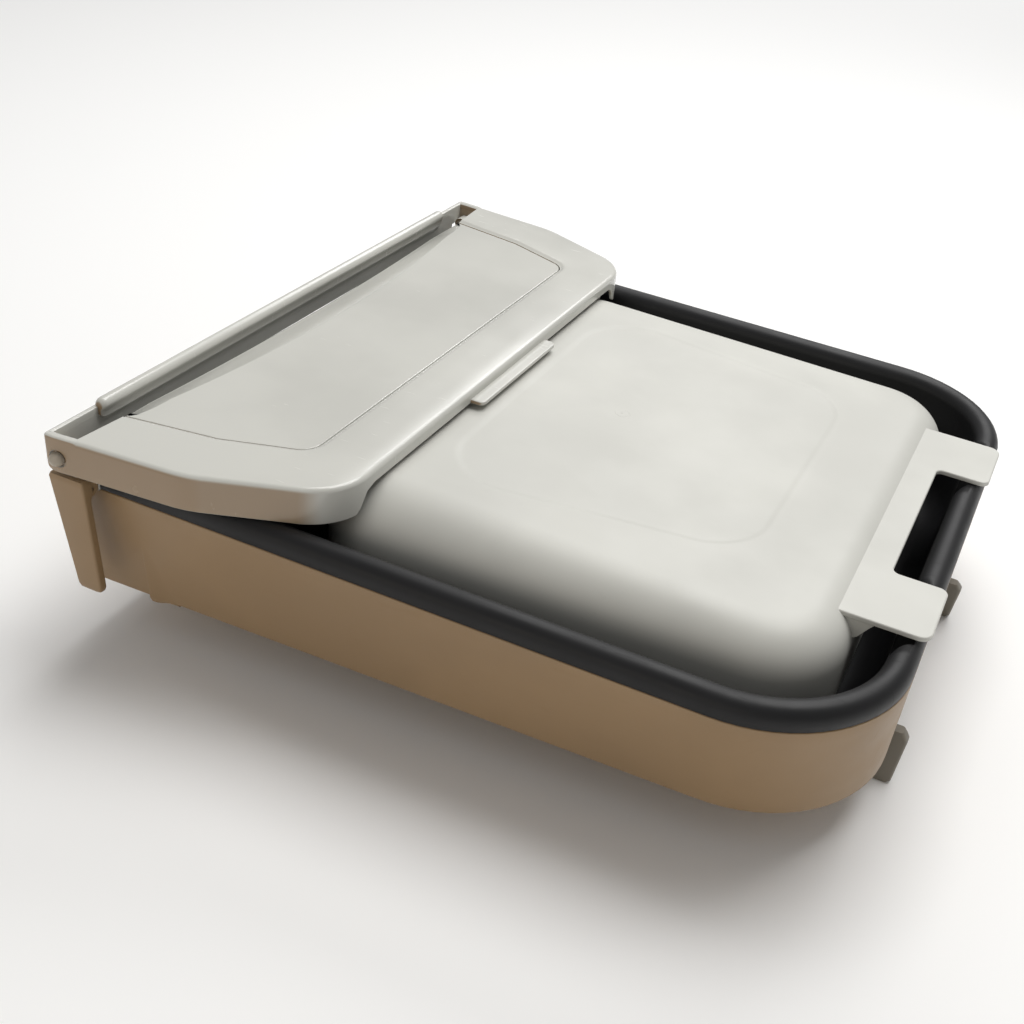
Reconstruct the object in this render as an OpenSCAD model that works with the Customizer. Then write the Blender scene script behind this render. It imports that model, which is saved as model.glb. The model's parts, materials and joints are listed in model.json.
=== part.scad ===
// Low hooded litter box: a tub on four feet, a lift-out pan with a rolled rim,
// a telescoping hood with a finger-notch flange, and a hinged front lid.
// +X points to the flange end, -X to the hinge end, Z = 0 is the floor.

/* [Tub] */
// Width of the tub and of the pan's rim over the outside
tub_w = 400; // [396:1:402]
// Hinge end of the tub, measured from the middle of the box
tub_hinge_x = 216.5; // [214:0.5:217]
// Flange end of the tub, measured from the middle of the box
tub_flange_x = 213.5; // [212:0.5:214]
// Lower edge of the tub wall above the floor
tub_z = 30; // [26:1:34]
// Top edge of the tub wall, where the rim rests
tub_top_z = 96; // [94:1:97]
// Wall thickness of the tub
tub_t = 3; // [2.4:0.2:3.6]
// How far each side wall leans in from top to bottom
side_draft = 7.6; // [6:0.2:8]
// How far each end wall leans in from top to bottom
end_draft = 1.5; // [1:0.1:3]
// Plan radius of the tub's corners at the flange end
corner_r = 78; // [70:1:82]
// Plan radius of the rim's corners at the hinge end
hinge_corner_r = 15.5; // [15.5:0.5:18]
// Plan radius of the tub wall's corners at the hinge end
tub_hinge_r = 5; // [4.5:0.5:8]
// How much narrower each side is along the floor, at the flange end
base_taper = 8.6; // [6:0.2:9]

/* [Feet] */
// Distance of each foot from the centre line, at its top
foot_y = 78.5; // [75:0.5:84]
// How far each foot splays outward by the floor
foot_splay = 7.5; // [4:0.5:9]
// Width of a foot
foot_w = 8; // [7:0.5:10]
// Reach of a foot along the box
foot_len = 18; // [16:1:22]
// Distance of a foot's outer tip from the middle of the box
foot_tip_x = 220.7; // [219:0.1:221]

/* [Pan] */
// Width of the rolled rim
bead_w = 15; // [14:0.2:15]
// Height of the rolled rim
bead_h = 12; // [11.5:0.1:12]
// Width left of the rim where it is cut back under the flange
seat_w = 5; // [4:0.5:6]
// Floor of the pan above the ground
pan_z = 36; // [35:0.5:40]
// Wall thickness of the pan
pan_t = 2.6; // [2.2:0.2:3]
// How far each pan wall leans in from top to bottom
pan_draft = 6; // [4:0.5:8]

/* [Hood] */
// Top of the dome above the floor
dome_top_z = 118.5; // [117:0.5:119]
// Half width of the dome under the lid
dome_half_w = 166; // [160:1:168]
// How much narrower each side of the dome is at the flange end
dome_taper = 6; // [2:1:10]
// How much lower the dome is at the flange end
dome_fall = 3.5; // [2:0.5:5]
// End wall of the dome, at the flange
dome_flange_x = 180; // [178:1:182]
// End wall of the dome, under the lid
dome_lid_x = -100; // [-101:1:-98]
// Radius of the dome's top edges under the lid
dome_lid_r = 34; // [28:1:35]
// Radius of the dome's top edges at the flange end
dome_flange_r = 24; // [20:1:30]
// Plan radius of the dome's corners under the lid
dome_lid_corner_r = 36; // [36:1:50]
// Plan radius of the dome's corners at the flange end
dome_flange_corner_r = 45; // [40:1:55]
// Lower edge of the hood wall
dome_z = 66; // [62:1:72]
// Wall thickness of the hood
hood_t = 2.6; // [2.2:0.2:3]
// Half width of the flange that rests on the rim
flange_half_w = 109; // [100:1:112]
// Half width of its finger notch
notch_half_w = 61; // [55:1:66]
// Where the finger notch starts
notch_x = 185.5; // [183:0.5:188]
// Thickness of the flange and of the deck
plate_t = 3; // [2.6:0.2:3.2]

/* [Lid] */
// Half width of the lid at the hinge
lid_half_w = 214; // [213:0.5:215]
// Top of the lid
lid_top_z = 129.3; // [129:0.1:130]
// Front edge of the lid
lid_front_x = -66.5; // [-68:0.5:-66]
// Thickness of the lid's walls
lid_t = 2.6; // [2.4:0.2:2.8]
// Depth of the recess that holds the panel
panel_recess = 1.4; // [1:0.1:1.6]
// Distance of the hinge axis from the middle of the box
pin_x = -209; // [-209.5:0.5:-208.5]
// Height of the hinge axis
pin_z = 117; // [116.5:0.5:117.5]
// Radius of a hinge pin
pin_r = 2.6; // [2.2:0.1:2.8]
// Radius of a hinge pin's ball head
pin_head_r = 3.7; // [3.5:0.1:4]
// Half length of the pull tab
tab_half_w = 48.5; // [40:0.5:55]

/* [Side latches] */
// Height of the latch axis
latch_z = 100.4; // [100:0.1:100.8]
// Distance of the latch axis from the centre line
latch_y = 207.5; // [207:0.1:207.8]
// Radius of a latch pin
latch_pin_r = 1.6; // [1.4:0.1:1.8]
// Lower end of a latch
latch_foot_z = 39; // [38:1:44]

/* [Hidden] */
$fn = 64;

// Colours
taupe = [0.60, 0.51, 0.41];
warm_grey = [0.84, 0.83, 0.80];
charcoal = [0.20, 0.21, 0.22];
foot_grey = [0.55, 0.53, 0.48];

// Small values used in many places: a hair's overlap, a loose gap and a running fit
eps = 0.01;
gap = 0.3;
run = 0.06;
near = -1;
far = 1;

// Levels and widths that several parts share
half_w = tub_w / 2;
rim_z = tub_top_z + bead_h;
deck_z = rim_z + gap;

// Hinge layout
ear_t = 5;
ear_in_y = lid_half_w - ear_t;
ear_r = 8.8;
knuckle_r = 4.2;
post_in_y = half_w + 0.4;
post_out_y = ear_in_y - 0.4;
web_out_y = latch_y - 5.7;
post_x0 = -203.5;
post_x1 = -193;
lid_back_x = pin_x - 8;
rear_wall_t = 3;
rear_wall_z = pin_z - 1;
rear_wall_low_z = pin_z - 6.8;
rear_wall_low_half_w = 197.5;
rear_lip_r = 3.5;
rear_lip_z = lid_top_z + 0.2;
rear_lip_half_w = 178;
skirt_z = rim_z + 0.8;
front_skirt_z = dome_top_z + 2.8;
lid_low_z = lid_top_z - panel_recess - lid_t;
arm_back_x = -197.5;

// Lid outline: one round on each arm and one at each front corner
arm_x = -152;
arm_r = 60;
arm_in = 65;
front_r = 33;
front_in = 57;

// Panel outline, inside the lid's recess
panel_back_x = -204.5;
panel_half_w = 177;
panel_rounds = [[-150, 158, 11], [-115, 143, 13]];

// Opening in the deck
opening_x0 = -184;
opening_x1 = -106;
opening_half_w = 150;
opening_r = 14;
lip_t = 2.4;
lip_h = 18;

// Latch layout
latch_x0 = lid_back_x;
latch_x1 = -195.5;
latch_t = 5;
cheek_t = 4.2;
cheek_r = 4.4;
lug_r = 4;
lug_x0 = latch_x0 + cheek_t + 0.4;
lug_x1 = latch_x1 - cheek_t - 0.4;

// A filled outline with two corner radii, one for each end of the box
module plan(x0, x1, w, r0, r1) {
    translate([x0, -w + r0]) square([r0, 2 * (w - r0)]);
    translate([x0 + r0, -w]) square([x1 - x0 - r0 - r1, 2 * w]);
    translate([x1 - r1, -w + r1]) square([r1, 2 * (w - r1)]);
    for (s = [near, far]) {
        translate([x0 + r0, s * (w - r0)]) circle(r0);
        translate([x1 - r1, s * (w - r1)]) circle(r1);
    }
}

// A thin slab of such an outline
module slab(x0, x1, w, r0, r1, z, t) {
    translate([0, 0, z]) linear_extrude(t) plan(x0, x1, w, r0, r1);
}

// A block that leans in towards the floor on all sides, more so along the flange end's corners
module drafted(x0, x1, w, r0, r1, z0, z1, side, end) {
    low_w = w - side;
    hull() {
        slab(x0, x1, w, r0, r1, z1 - eps, eps);
        translate([0, 0, z0])
            linear_extrude(eps)
                for (s = [near, far]) {
                    translate([x0 + end + r0, s * (low_w - r0)]) circle(r0);
                    translate([x1 - end - r1, s * (low_w - base_taper - r1)]) circle(r1);
                }
    }
}

// A box that runs along X, on one side of the middle, between two distances from it
module side_box(side, x0, x1, y0, y1, z0, z1) {
    translate([x0, side > 0 ? y0 : -y1, z0]) cube([x1 - x0, y1 - y0, z1 - z0]);
}

// A cylinder that points outward from the middle
module side_rod(side, x, y0, y1, z, r) {
    translate([x, side * y0, z]) rotate([side * -90, 0, 0]) cylinder(h = y1 - y0, r = r);
}

// A cylinder along X, on the latch axis
module latch_rod(side, x0, x1, r) {
    translate([x0, side * latch_y, latch_z]) rotate([0, 90, 0]) cylinder(h = x1 - x0, r = r);
}

// The rolled rim's section, standing on the tub wall, measured out from its centre line
module bead_section() {
    round_r = bead_w / 2;
    translate([-round_r, 0]) square([bead_w, bead_h - round_r]);
    translate([0, bead_h - round_r])
        intersection() {
            circle(round_r);
            translate([-round_r, 0]) square([bead_w, round_r]);
        }
}

// One straight stretch and one corner of the rim
module bead_run(len) {
    rotate([90, 0, 90]) linear_extrude(len) bead_section();
}
module bead_corner(r) {
    rotate_extrude(angle = 90) translate([r - bead_w / 2, 0]) bead_section();
}

// ---- Tub ----

// A small wedge on each side wall, proud at the lower edge and fading forward
module wall_lug(side) {
    lug_start_x = -178;
    lug_len = 12;
    lug_h = 36;
    proud = 2.5;
    low_y = half_w - side_draft;
    hull() {
        side_box(side, lug_start_x, lug_start_x + 6, low_y - 2, low_y + proud, tub_z - 2, tub_z + 1);
        side_box(side, lug_start_x, lug_start_x + lug_len, low_y - 2, low_y, tub_z - 1, tub_z + 1);
        side_box(side, lug_start_x, lug_start_x + 1, low_y, low_y + proud,
            tub_z + lug_h, tub_z + lug_h + 1);
    }
}

module tub_shell() {
    color(taupe) {
        difference() {
            drafted(-tub_hinge_x, tub_flange_x, half_w, tub_hinge_r, corner_r,
                tub_z, tub_top_z, side_draft, end_draft);
            translate([0, 0, tub_t])
                drafted(-tub_hinge_x + tub_t, tub_flange_x - tub_t, half_w - tub_t,
                    tub_hinge_r - tub_t, corner_r - tub_t,
                    tub_z, tub_top_z + eps, side_draft, end_draft);
        }
        for (side = [near, far]) wall_lug(side);
    }
}

// A fin that splays outward and tucks in towards the floor
// dir is +1 at the flange end and -1 at the hinge end
module foot(side, dir) {
    tip_x = foot_tip_x;
    heel_x = tip_x - foot_len;
    top_y = foot_y - foot_w / 2;
    low_y = top_y + foot_splay;
    pad_in = 1.5;
    bevel = 5;
    color(foot_grey)
        mirror([dir > 0 ? 0 : 1, 0, 0])
            difference() {
                hull() {
                    side_box(side, heel_x, tip_x, top_y, top_y + foot_w, tub_z - 2, tub_z);
                    side_box(side, heel_x + 2, tip_x - 3, low_y, low_y + foot_w, 2, 3);
                    side_box(side, heel_x + 4, tip_x - 5, low_y + pad_in, low_y + foot_w - pad_in, 0, 1);
                }
                // bevel on the outer top edge
                translate([tip_x, 0, tub_z])
                    rotate([0, 45, 0]) cube([bevel, tub_w, bevel], center = true);
            }
}

module foot_near_end() foot(near, 1);
module foot_far_end() foot(far, 1);
module foot_near_hinge() foot(near, -1);
module foot_far_hinge() foot(far, -1);

// ---- Pan ----

// Where the flange's arms rest, the rim is cut back on its inner side between rounded ends
module flange_seat(side) {
    seat_x1 = tub_flange_x - seat_w;
    end_r = 18;
    end_x = tub_flange_x - bead_w + end_r;
    end_y = [notch_half_w - 15, flange_half_w + 18.6];
    translate([0, 0, tub_top_z + 2])
        linear_extrude(bead_h)
            difference() {
                translate([seat_x1 - 20, side > 0 ? end_y[0] : -end_y[1]])
                    square([20, end_y[1] - end_y[0]]);
                for (y = end_y) translate([end_x, side * y]) circle(end_r);
            }
}

module litter_pan() {
    // the wall starts well inside the rim, so that its lean never brings it out through the rim's face
    rim_overlap = 2;
    wall_in = bead_w - rim_overlap;
    top_z = tub_top_z + 1;
    in_w = half_w - wall_in;
    in_x0 = -tub_hinge_x + wall_in;
    in_x1 = tub_flange_x - wall_in;
    in_r0 = hinge_corner_r - wall_in;
    in_r1 = corner_r - wall_in;
    long_run = tub_flange_x + tub_hinge_x - corner_r - hinge_corner_r;
    color(charcoal)
        difference() {
            union() {
                difference() {
                    drafted(in_x0 - pan_t, in_x1 + pan_t, in_w + pan_t,
                        in_r0 + pan_t, in_r1 + pan_t, pan_z, top_z, pan_draft, pan_draft);
                    translate([0, 0, pan_t])
                        drafted(in_x0, in_x1, in_w, in_r0, in_r1,
                            pan_z, top_z + 1, pan_draft, pan_draft);
                }
                translate([0, 0, tub_top_z]) {
                    for (side = [near, far]) {
                        translate([-tub_hinge_x + hinge_corner_r, side * (half_w - bead_w / 2), 0])
                            bead_run(long_run);
                        translate([tub_flange_x - corner_r, side * (half_w - corner_r), 0])
                            rotate(side > 0 ? 0 : -90) bead_corner(corner_r);
                        translate([-tub_hinge_x + hinge_corner_r, side * (half_w - hinge_corner_r), 0])
                            rotate(side > 0 ? 90 : 180) bead_corner(hinge_corner_r);
                    }
                    translate([tub_flange_x - bead_w / 2, -half_w + corner_r, 0])
                        rotate(90) bead_run(tub_w - 2 * corner_r);
                    translate([-tub_hinge_x + bead_w / 2, -half_w + hinge_corner_r, 0])
                        rotate(90) bead_run(tub_w - 2 * hinge_corner_r);
                }
            }
            for (side = [near, far]) flange_seat(side);
        }
}

// ---- Hood ----

// A corner column of the dome with a rounded top, inset by t for the hollow
module dome_column(x, y, top_z, corner_r, edge_r, t) {
    translate([x, y, 0]) {
        translate([0, 0, dome_z - (t > 0 ? 1 : 0)])
            cylinder(h = top_z - edge_r - dome_z, r = corner_r - t, $fn = 48);
        translate([0, 0, top_z - edge_r])
            rotate_extrude($fn = 48)
                intersection() {
                    union() {
                        translate([corner_r - edge_r, 0]) circle(edge_r - t, $fn = 48);
                        square([corner_r - edge_r, edge_r - t]);
                    }
                    square([corner_r, edge_r]);
                }
    }
}

module dome_block(t) {
    crown_x0 = dome_lid_x + 45;
    crown_x1 = dome_flange_x - 59;
    crown_w = 106;
    crown_r = 38;
    hull() {
        for (side = [near, far]) {
            dome_column(dome_flange_x - dome_flange_corner_r,
                side * (dome_half_w - dome_taper - dome_flange_corner_r),
                dome_top_z - dome_fall, dome_flange_corner_r, dome_flange_r, t);
            dome_column(dome_lid_x + dome_lid_corner_r, side * (dome_half_w - dome_lid_corner_r),
                dome_top_z, dome_lid_corner_r, dome_lid_r, t);
        }
        slab(crown_x0, crown_x1, crown_w, crown_r, crown_r, dome_top_z - t - eps, eps);
    }
}

module hood_shell() {
    color(warm_grey)
        difference() {
            dome_block(0);
            dome_block(hood_t);
        }
}

// A gusset from the dome's end wall to the underside of the flange
module flange_rib(side) {
    rib_t = 2.4;
    rib_h = 12;
    rib_x0 = dome_flange_x - 12;
    rib_y = flange_half_w - 1;
    translate([0, side > 0 ? rib_y : -rib_y + rib_t, 0])
        rotate([90, 0, 0])
            linear_extrude(rib_t)
                polygon([[rib_x0, deck_z - rib_h], [dome_flange_x, deck_z - rib_h],
                    [notch_x + 3, deck_z + 1], [rib_x0, deck_z + 1]]);
}

module grip_flange() {
    flange_end_x = tub_flange_x + 2;
    flange_start_x = 150;
    tip_r = 7;
    color(warm_grey) {
        difference() {
            translate([0, 0, deck_z]) linear_extrude(plate_t)
                difference() {
                    plan(flange_start_x, flange_end_x, flange_half_w, 1, tip_r);
                    translate([notch_x, -notch_half_w]) square([60, 2 * notch_half_w]);
                }
            dome_block(0);
        }
        difference() {
            for (side = [near, far]) flange_rib(side);
            dome_block(0);
        }
    }
}

// Deck outline, kept inside the lid's skirt
module deck_plan() {
    hull() {
        for (side = [near, far]) {
            translate([post_x1, side * 202 - 2]) square([4, 4]);
            translate([-150, side * 192]) circle(8);
            translate([-88, side * 160]) circle(12);
        }
    }
}

module access_deck() {
    color(warm_grey)
        difference() {
            translate([0, 0, deck_z])
                linear_extrude(plate_t)
                    difference() {
                        deck_plan();
                        plan(opening_x0, opening_x1, opening_half_w, opening_r, opening_r);
                    }
            dome_block(0);
        }
}

// A collar under the opening that turns litter back into the pan
module spill_lip() {
    lip_r = opening_r + lip_t;
    color(warm_grey)
        translate([0, 0, deck_z - lip_h])
            linear_extrude(lip_h)
                difference() {
                    plan(opening_x0 - lip_t, opening_x1 + lip_t, opening_half_w + lip_t,
                        lip_r, lip_r);
                    plan(opening_x0, opening_x1, opening_half_w, opening_r, opening_r);
                }
}

// ---- Hinge ----

// Holds the hinge pin above the rim, and the latch's pin beside it
module hinge_post(side) {
    lug_end_x = latch_x1 - 1;
    color(warm_grey)
        difference() {
            union() {
                side_rod(side, pin_x, post_in_y, post_out_y, pin_z, knuckle_r);
                side_box(side, pin_x, post_x1, post_in_y, post_out_y,
                    pin_z - knuckle_r, pin_z + knuckle_r);
                // foot on the rim, level with the deck
                side_box(side, post_x0, post_x1, 198.5, post_out_y, deck_z, pin_z - 2);
                // web down the outside of the rim
                side_box(side, post_x0, lug_end_x, post_in_y, web_out_y, latch_z, deck_z + 1);
                side_box(side, lug_x0, lug_end_x, post_in_y, web_out_y,
                    latch_z - lug_r, deck_z - 0.5);
                // neck and eye that carry the latch
                side_box(side, lug_x0, lug_x1, post_in_y, latch_y, latch_z - lug_r, latch_z);
                latch_rod(side, lug_x0, lug_x1, lug_r);
            }
            side_rod(side, pin_x, post_in_y - 1, post_out_y + 1, pin_z, pin_r);
            latch_rod(side, latch_x0 - 1, latch_x1 + 1, latch_pin_r);
        }
}

module hinge_post_near() hinge_post(near);
module hinge_post_far() hinge_post(far);

module hinge_pin(side) {
    shank = lid_half_w - post_in_y + 0.5;
    color(warm_grey)
        translate([pin_x, side * post_in_y, pin_z])
            rotate([side * -90, 0, 0])
                rotate_extrude()
                    union() {
                        square([pin_r, shank + 1]);
                        translate([0, shank])
                            intersection() {
                                circle(pin_head_r);
                                square(2 * pin_head_r);
                            }
                    }
}

module hinge_pin_near() hinge_pin(near);
module hinge_pin_far() hinge_pin(far);

// ---- Lid ----

// Lid outline: square ears at the hinge, arms that curve in to a rounded front
module lid_plan(inset) {
    hull() {
        translate([lid_back_x + inset, -lid_half_w + inset])
            square([4, 2 * (lid_half_w - inset)]);
        for (side = [near, far]) {
            translate([arm_x, side * (lid_half_w - arm_in)]) circle(arm_r - inset);
            translate([lid_front_x - front_r, side * (lid_half_w - front_in)])
                circle(front_r - inset);
        }
    }
}

// Outline of the recess that holds the panel
module panel_plan() {
    hull() {
        translate([panel_back_x, -panel_half_w]) square([4, 2 * panel_half_w]);
        for (side = [near, far], round = panel_rounds)
            translate([round.x, side * round.y]) circle(round.z);
    }
}

// The hole for the hinge pin, dished on the outside for its ball head
module ear_hole(side) {
    side_rod(side, pin_x, ear_in_y - 1, lid_half_w + 1, pin_z, pin_r + run);
    side_rod(side, pin_x, lid_half_w - 0.2, lid_half_w + 3, pin_z, pin_head_r + 1.4);
}

module lid_frame() {
    inner_back_x = lid_back_x + rear_wall_t;
    color(warm_grey)
        difference() {
            translate([0, 0, skirt_z])
                linear_extrude(lid_top_z - skirt_z) lid_plan(0);
            // hollow under the arms and the front bar
            translate([arm_back_x, 0, skirt_z - 1])
                linear_extrude(lid_low_z - skirt_z + 1)
                    intersection() {
                        translate([-arm_back_x, 0]) lid_plan(lid_t);
                        translate([0, -half_w * 2]) square([200, half_w * 4]);
                    }
            // recess for the panel
            translate([0, 0, lid_top_z - panel_recess - lid_t - 1])
                linear_extrude(10) panel_plan();
            // clear space round the posts and the channel behind the panel
            translate([inner_back_x, -ear_in_y, skirt_z - 1])
                cube([arm_back_x - inner_back_x + eps, 2 * ear_in_y, 30]);
            // the rear wall stops above the hinge axis at its ends, to clear the posts
            translate([lid_back_x - 1, -ear_in_y, skirt_z - 1])
                cube([rear_wall_t + 2, 2 * ear_in_y, rear_wall_low_z - skirt_z + 1]);
            for (side = [near, far])
                side_box(side, lid_back_x - 1, inner_back_x + 1,
                    rear_wall_low_half_w, ear_in_y, skirt_z, rear_wall_z);
            // the front edge clears the dome
            translate([-110, -dome_half_w + 8, skirt_z - 1])
                cube([60, 2 * (dome_half_w - 8), front_skirt_z - skirt_z + 1]);
            hinge_round();
            for (side = [near, far]) ear_hole(side);
        }
}

// What is cut away behind and below the hinge axis, to round the lid about it
module hinge_round() {
    reach = 12;
    translate([pin_x, -lid_half_w - 1, pin_z])
        rotate([-90, 0, 0])
            linear_extrude(2 * lid_half_w + 2)
                difference() {
                    translate([-reach, 0]) square(reach);
                    circle(ear_r);
                }
}

module lid_panel() {
    curl_t = 2.4;
    curl_half_w = panel_half_w - 6;
    color(warm_grey) {
        translate([0, 0, lid_low_z]) linear_extrude(lid_t) panel_plan();
        // its back edge curls down into the channel
        translate([panel_back_x, -curl_half_w, pin_z + 1])
            cube([curl_t, 2 * curl_half_w, lid_low_z - pin_z]);
    }
}

// The rounded lip on the lid's rear wall
module rear_rail() {
    color(warm_grey)
        difference() {
            translate([lid_back_x + rear_lip_r - 1, -rear_lip_half_w, rear_lip_z])
                rotate([-90, 0, 0]) cylinder(h = 2 * rear_lip_half_w, r = rear_lip_r);
            translate([lid_back_x, -half_w, lid_top_z - 20])
                cube([rear_wall_t, 2 * half_w, 20]);
        }
}

module pull_tab() {
    tab_z = 121.4;
    tab_t = 2.6;
    tab_reach = 8;
    color(warm_grey)
        translate([0, 0, tab_z])
            linear_extrude(tab_t)
                plan(lid_front_x, lid_front_x + tab_reach, tab_half_w, 0.5, 4);
}

// ---- Side latches ----

// A leg that hangs from the hinge post and holds the hood down on the tub
module side_latch(side) {
    out_y = lid_half_w;
    in_y = out_y - latch_t;
    top_r = 4;
    toe_x0 = -205.5;
    toe_len = 14.5;
    slot_r = lug_r + 0.5;
    color(taupe)
        difference() {
            union() {
                for (x = [latch_x0, latch_x1 - cheek_t])
                    latch_rod(side, x, x + cheek_t, cheek_r);
                // leg, leaning and tapering to its rounded toe
                hull() {
                    translate([latch_x0, side * (out_y - top_r), latch_z + 2.4])
                        rotate([0, 90, 0])
                            cylinder(h = latch_x1 - latch_x0, r = top_r, $fn = 32);
                    side_box(side, latch_x0 + 1, latch_x1 - 1, in_y, out_y,
                        latch_z - 8, latch_z - 6);
                    side_box(side, toe_x0, toe_x0 + toe_len, in_y, out_y,
                        latch_foot_z + 4, latch_foot_z + 6);
                    side_box(side, toe_x0 + 3, toe_x0 + toe_len - 3, in_y, out_y,
                        latch_foot_z, latch_foot_z + 2);
                }
            }
            // room for the post's eye between the cheeks
            latch_rod(side, latch_x0 + cheek_t, latch_x1 - cheek_t, slot_r);
            latch_rod(side, latch_x0 - 1, latch_x1 + 1, latch_pin_r + run);
        }
}

module side_latch_near() side_latch(near);
module side_latch_far() side_latch(far);

module latch_pin(side) {
    color(warm_grey) latch_rod(side, latch_x0, latch_x1, latch_pin_r);
}

module latch_pin_near() latch_pin(near);
module latch_pin_far() latch_pin(far);

tub_shell();
foot_near_end();
foot_far_end();
foot_near_hinge();
foot_far_hinge();
litter_pan();
hood_shell();
grip_flange();
access_deck();
spill_lip();
hinge_post_near();
hinge_post_far();
hinge_pin_near();
hinge_pin_far();
latch_pin_near();
latch_pin_far();
lid_frame();
lid_panel();
rear_rail();
pull_tab();
side_latch_near();
side_latch_far();
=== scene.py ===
"""Looks for the low hooded litter box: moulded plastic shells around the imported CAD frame. Metres, +Z up."""
import json
import math

import bmesh
import bpy
from mathutils import Matrix, Vector


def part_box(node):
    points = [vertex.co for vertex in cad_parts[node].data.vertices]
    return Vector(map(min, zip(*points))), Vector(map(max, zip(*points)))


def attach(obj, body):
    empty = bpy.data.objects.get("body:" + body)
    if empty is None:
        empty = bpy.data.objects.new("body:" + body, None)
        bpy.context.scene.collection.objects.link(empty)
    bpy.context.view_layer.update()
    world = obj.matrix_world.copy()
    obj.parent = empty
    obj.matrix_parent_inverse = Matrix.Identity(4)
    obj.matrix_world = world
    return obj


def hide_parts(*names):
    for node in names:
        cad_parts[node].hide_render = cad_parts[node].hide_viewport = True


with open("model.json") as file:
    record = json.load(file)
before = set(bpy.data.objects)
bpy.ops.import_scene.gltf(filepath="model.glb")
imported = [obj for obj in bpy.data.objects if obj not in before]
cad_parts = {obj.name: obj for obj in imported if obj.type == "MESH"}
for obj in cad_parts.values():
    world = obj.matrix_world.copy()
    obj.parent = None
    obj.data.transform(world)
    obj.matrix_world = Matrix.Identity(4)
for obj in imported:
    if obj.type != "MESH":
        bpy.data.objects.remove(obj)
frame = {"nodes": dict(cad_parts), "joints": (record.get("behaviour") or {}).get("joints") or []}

MM = 0.001
NEAR, FAR = -1, 1
SIDES = ((NEAR, "near"), (FAR, "far"))
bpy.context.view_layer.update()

# ---------------------------------------------------------------- places from the frame
tub_low, tub_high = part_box("tub_shell")
pan_low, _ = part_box("litter_pan")
hood_low, hood_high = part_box("hood_shell")
_, flange_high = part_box("grip_flange")
lid_low, lid_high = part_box("lid_frame")
_, rail_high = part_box("rear_rail")
tab_low, tab_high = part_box("pull_tab")
joints = {joint["name"]: joint for joint in frame["joints"]}
pin_x, _, pin_z = joints["lid_hinge"]["pos_m"]
latch_pivot = Vector(joints["latch_far_swing"]["pos_m"])

# ---------------------------------------------------------------- section sizes
LUG_DROP = 2 * MM
TUB_WALL = 3 * MM
SIDE_DRAFT, END_DRAFT, BASE_TAPER = 7.6 * MM, 1.5 * MM, 8.6 * MM
FLANGE_CORNER, HINGE_CORNER, TUB_HINGE_R = 78 * MM, 15.5 * MM, 5 * MM
BEAD_W, BEAD_H, SEAT_W = 15 * MM, 12 * MM, 5 * MM
tub_z0, tub_z1 = tub_low.z + LUG_DROP, tub_high.z
half_w = tub_high.y


# ---------------------------------------------------------------- mesh helpers
def link(obj):
    bpy.context.scene.collection.objects.link(obj)
    return obj


def from_bmesh(name, bm, smooth_angle=38):
    bmesh.ops.remove_doubles(bm, verts=bm.verts, dist=1e-6)
    bmesh.ops.recalc_face_normals(bm, faces=bm.faces)
    mesh = bpy.data.meshes.new(name)
    bm.to_mesh(mesh)
    bm.free()
    mesh.shade_smooth()
    mesh.set_sharp_from_angle(angle=math.radians(smooth_angle))
    return link(bpy.data.objects.new(name, mesh))


def add_loft(bm, rings, closed=False, caps=True):
    """Adds the skin over rings of equal length; closed joins the last ring to the first."""
    rows = [[bm.verts.new(p) for p in ring] for ring in rings]
    count = len(rows[0])
    pairs = list(zip(rows, rows[1:] + rows[:1])) if closed else list(zip(rows, rows[1:]))
    for a, b in pairs:
        for i in range(count):
            j = (i + 1) % count
            bm.faces.new((a[i], a[j], b[j], b[i]))
    if caps and not closed:
        bm.faces.new(rows[0][::-1])
        bm.faces.new(rows[-1])


def loft(name, rings, closed=False, caps=True, smooth_angle=38):
    bm = bmesh.new()
    add_loft(bm, rings, closed, caps)
    return from_bmesh(name, bm, smooth_angle)


def arc(cx, cy, r, start, end, steps):
    """Points on an arc, angles in degrees, both ends included."""
    angles = [math.radians(start + (end - start) * k / steps) for k in range(steps + 1)]
    return [(cx + r * math.cos(a), cy + r * math.sin(a)) for a in angles]


def smoothstep(a, b, x):
    t = min(max((x - a) / (b - a), 0.0), 1.0)
    return t * t * (3 - 2 * t)


def mix(a, b, t):
    return a + (b - a) * t


CORNER_STEPS, SIDE_STEPS = 16, 20


def plan_ring(x0, x1, w0, w1, r0, r1, z):
    """A closed ring round a rounded plan; w0 and r0 at the hinge end, w1 and r1 at the flange end."""
    corners = [
        arc(x0 + r0, -w0 + r0, r0, 180, 270, CORNER_STEPS),
        arc(x1 - r1, -w1 + r1, r1, 270, 360, CORNER_STEPS),
        arc(x1 - r1, w1 - r1, r1, 0, 90, CORNER_STEPS),
        arc(x0 + r0, w0 - r0, r0, 90, 180, CORNER_STEPS),
    ]
    ring = []
    for k, corner in enumerate(corners):
        ring += corner
        a, b = corner[-1], corners[(k + 1) % 4][0]
        for s in range(1, SIDE_STEPS):
            t = s / SIDE_STEPS
            ring.append((mix(a[0], b[0], t), mix(a[1], b[1], t)))
    return [(x, y, z) for x, y in ring]


def add_bevel(obj, width, segments=3, angle=30):
    mod = obj.modifiers.new("edge rounding", "BEVEL")
    mod.width = width
    mod.segments = segments
    mod.limit_method = "ANGLE"
    mod.angle_limit = math.radians(angle)
    mod.harden_normals = True
    return mod


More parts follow.
